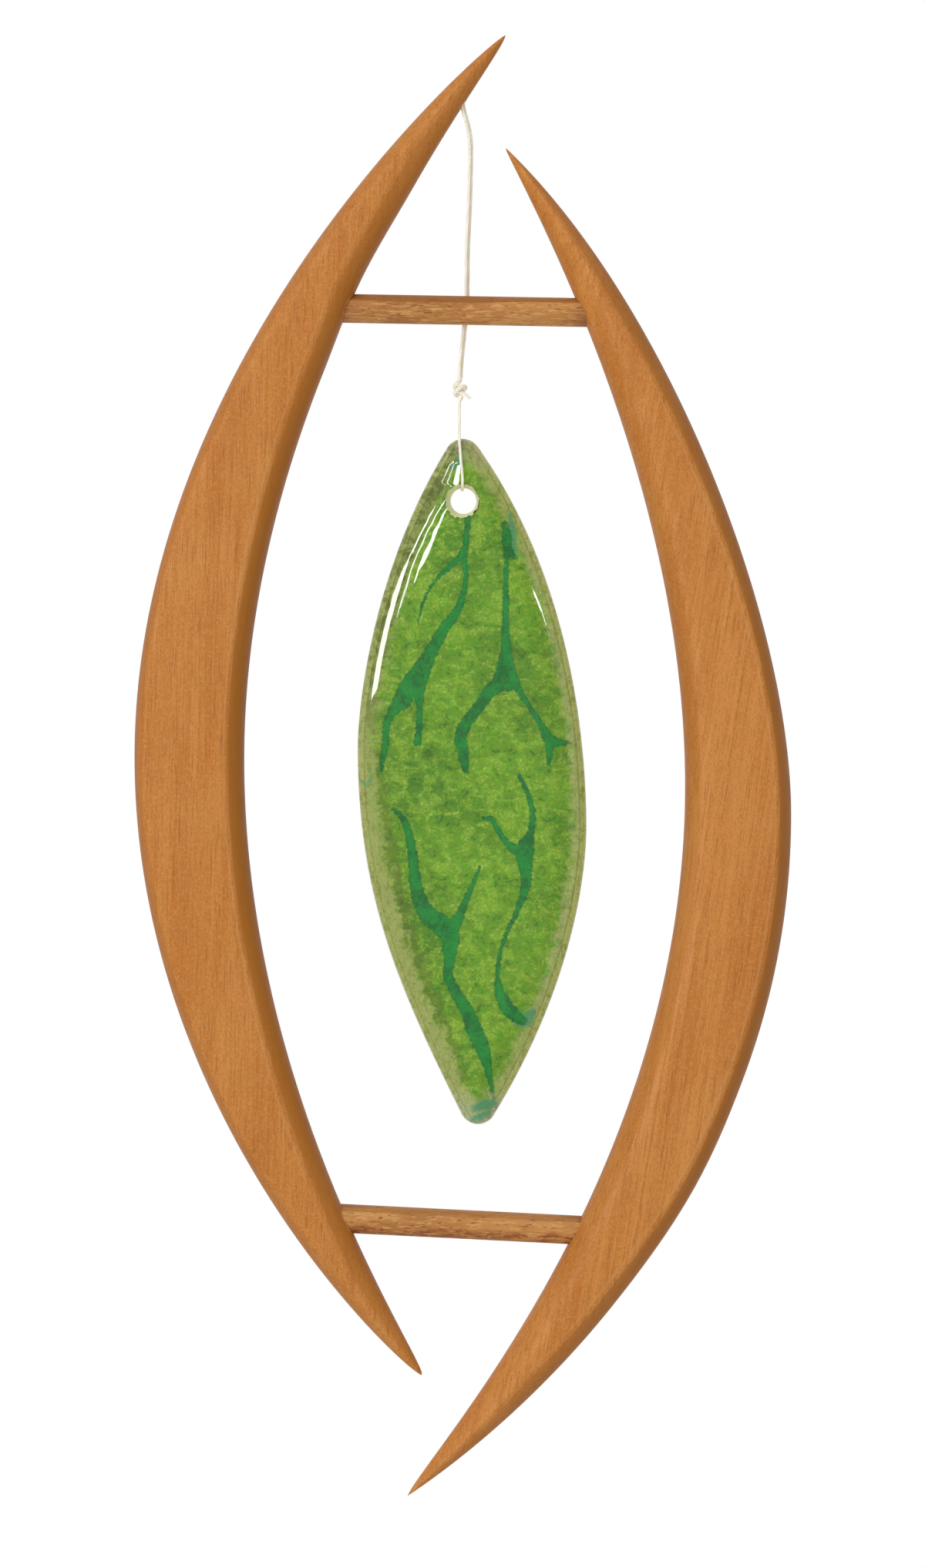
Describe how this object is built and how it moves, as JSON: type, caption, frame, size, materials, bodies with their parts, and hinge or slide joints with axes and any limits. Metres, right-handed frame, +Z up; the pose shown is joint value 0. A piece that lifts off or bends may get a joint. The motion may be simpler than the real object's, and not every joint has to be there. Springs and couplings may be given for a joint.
{
  "type": "stained glass window hanging",
  "caption": "Window hanging: horn-tipped wooden limbs joined by dowels into an open pointed ring, with a leaf-shaped fused glass pendant hung inside it on a thread.",
  "frame": {"origin": "the upper mouth of the upright thread hole through the left limb's top tip, the point the whole piece hangs from", "axes": "+Z up along the thread hole, +X to the right seen from the front, front towards -Y"},
  "size_m": [0.1816, 0.0191, 0.404],
  "materials": {
    "limb_wood": "oiled cherry, fine grain, satin",
    "dowel_wood": "oiled beech with short dark flecks",
    "leaf_glass": "fused green glass with darker veins and a clear rim, fire polished",
    "thread": "pale beige cord, slightly translucent"
  },
  "bodies": {
    "root": {"left_limb": "limb_wood", "right_limb": "limb_wood", "top_dowel": "dowel_wood", "bottom_dowel": "dowel_wood", "glass_leaf": "leaf_glass", "thread_strand_front": "thread", "thread_strand_back": "thread", "thread_knot": "thread", "thread_loop": "thread"}
  },
  "joints": []
}
